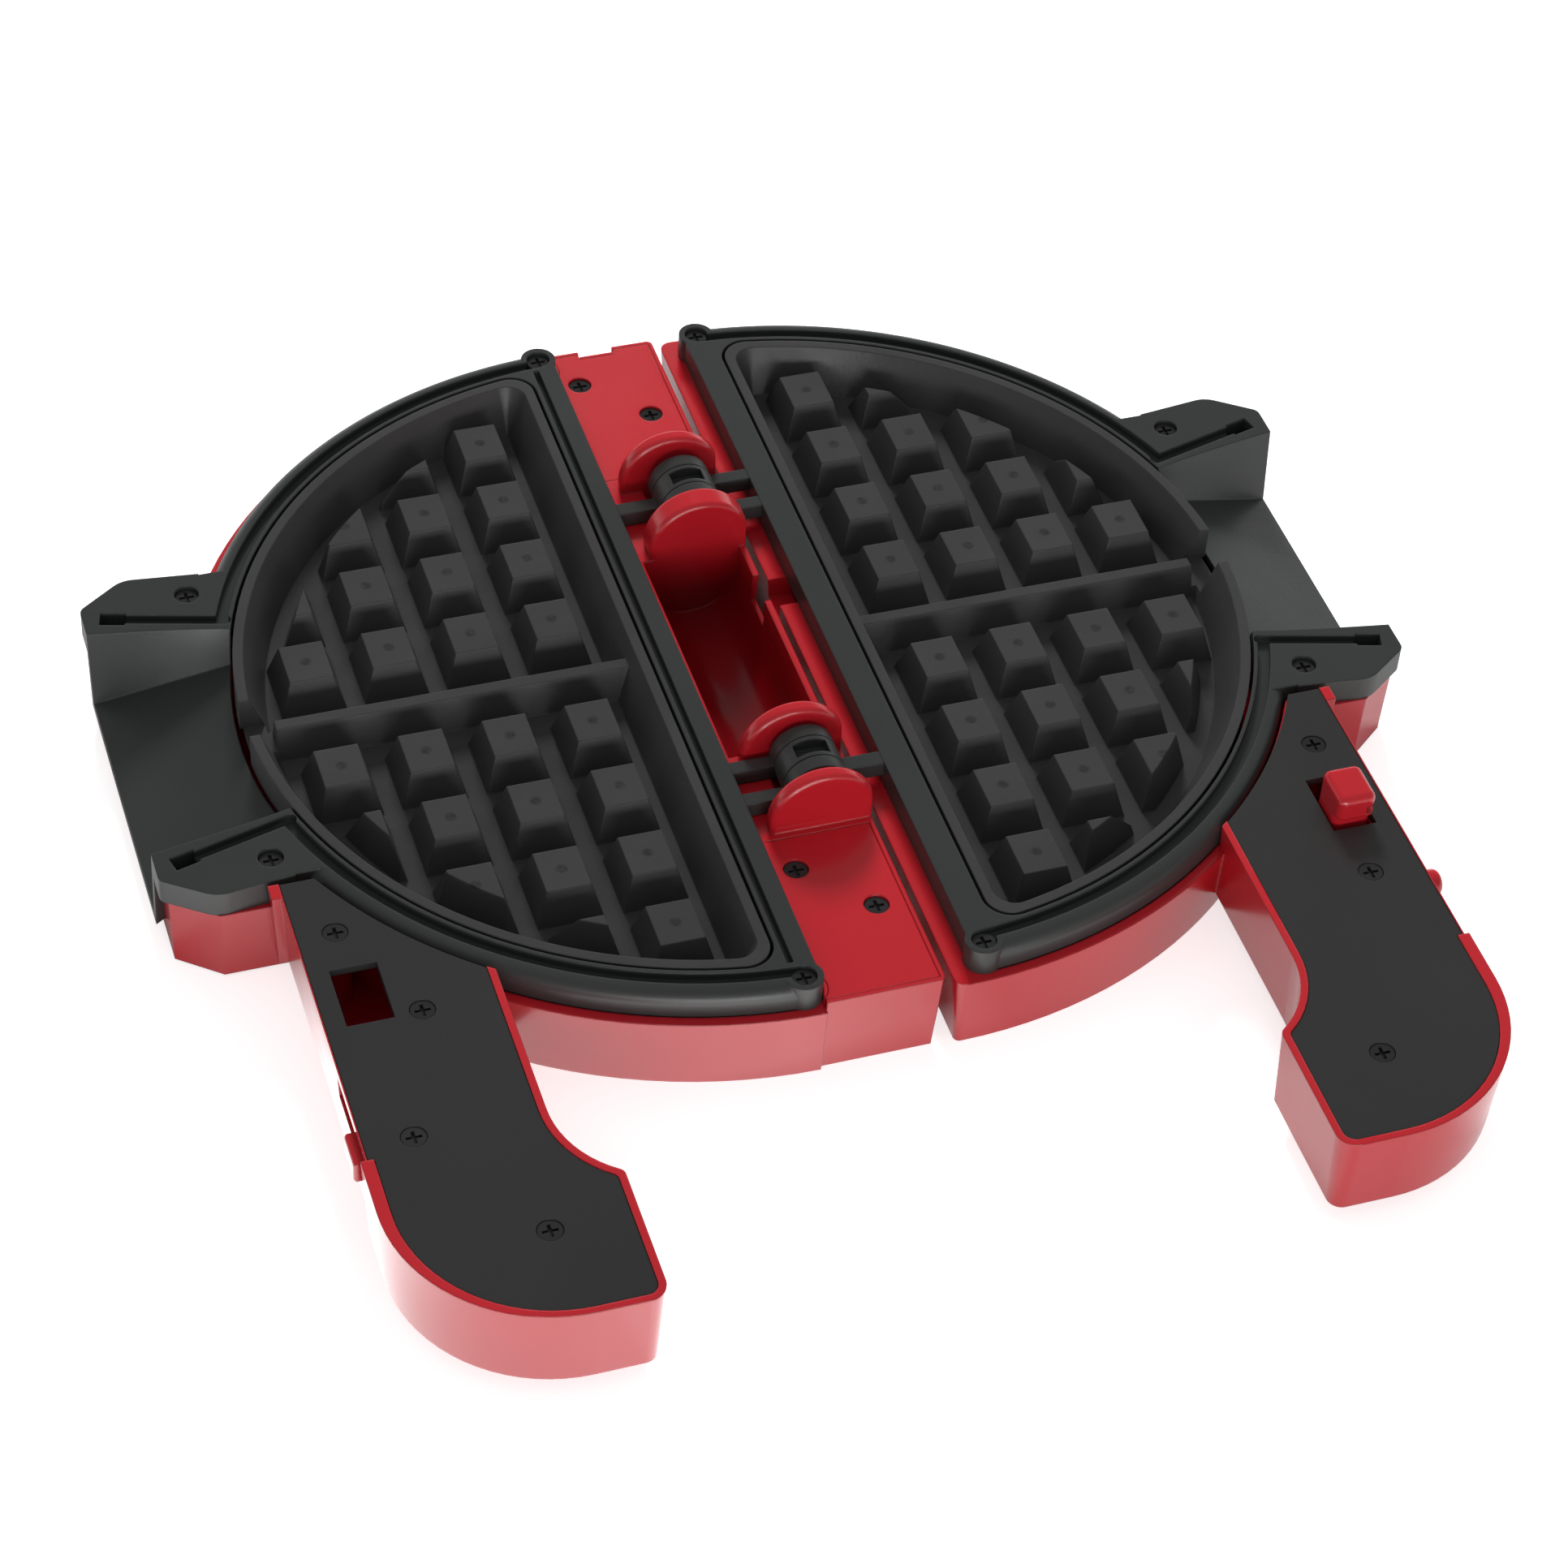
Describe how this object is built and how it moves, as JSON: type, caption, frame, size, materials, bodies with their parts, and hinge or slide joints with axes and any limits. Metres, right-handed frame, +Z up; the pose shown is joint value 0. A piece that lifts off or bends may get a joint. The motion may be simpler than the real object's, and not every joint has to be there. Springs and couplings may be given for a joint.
{
  "type": "vertical waffle maker",
  "caption": "Hinged household waffle maker opened flat: two half-round grid plates with pouring spouts, red shells, base block and handles with a catch.",
  "frame": {"origin": "on the table, midway under the hinge axis", "axes": "+Z up; the hinge axis runs along Y, 27 mm above the table; the handles point along -Y; the lid half is on the +X side"},
  "size_m": [0.302, 0.3054, 0.0378],
  "materials": {
    "red_plastic": "glossy",
    "black_plastic": "satin",
    "cover_plastic": "satin",
    "nonstick_coating": "dark non-stick coating",
    "steel": "plain",
    "dark_screw": "black oxide",
    "element_steel": "heat tinted",
    "reflector_sheet": "mill finish",
    "inner_plastic": "natural",
    "gland_rubber": "matt"
  },
  "bodies": {
    "left_half": {"left_shell": "red_plastic", "left_frame": "black_plastic", "left_grid_plate": "nonstick_coating", "left_handle_cover": "cover_plastic", "base_cover_near": "red_plastic", "base_cover_far": "red_plastic", "hinge_pin_near": "steel", "hinge_pin_far": "steel", "left_frame_screws": "dark_screw", "left_cover_screws": "dark_screw", "base_cover_screws": "dark_screw", "left_plate_screws": "steel", "left_heating_element": "element_steel", "left_reflector": "reflector_sheet", "thermostat": "inner_plastic", "thermal_fuse": "inner_plastic", "terminal_block": "inner_plastic", "cord_gland": "gland_rubber"},
    "right_half": {"right_shell": "red_plastic", "right_frame": "black_plastic", "right_grid_plate": "nonstick_coating", "right_handle_cover": "cover_plastic", "right_frame_screws": "dark_screw", "right_cover_screws": "dark_screw", "right_plate_screws": "steel", "right_heating_element": "element_steel", "right_reflector": "reflector_sheet"},
    "lock": {"lock_slider": "red_plastic"},
    "catch_latch": {"catch": "red_plastic"}
  },
  "joints": [
    {"name": "lid_hinge", "type": "hinge", "parent": "left_half", "child": "right_half", "pos_m": [0, 0, 0.027], "axis": [0, -1, 0], "range_deg": [0, 180]},
    {"name": "lock_slide", "type": "slide", "parent": "left_half", "child": "lock", "axis": [0, 1, 0], "range_m": [0, 0.014]},
    {"name": "catch_slide", "type": "slide", "parent": "right_half", "child": "catch_latch", "axis": [0, -1, 0], "range_m": [0, 0.0015]}
  ]
}
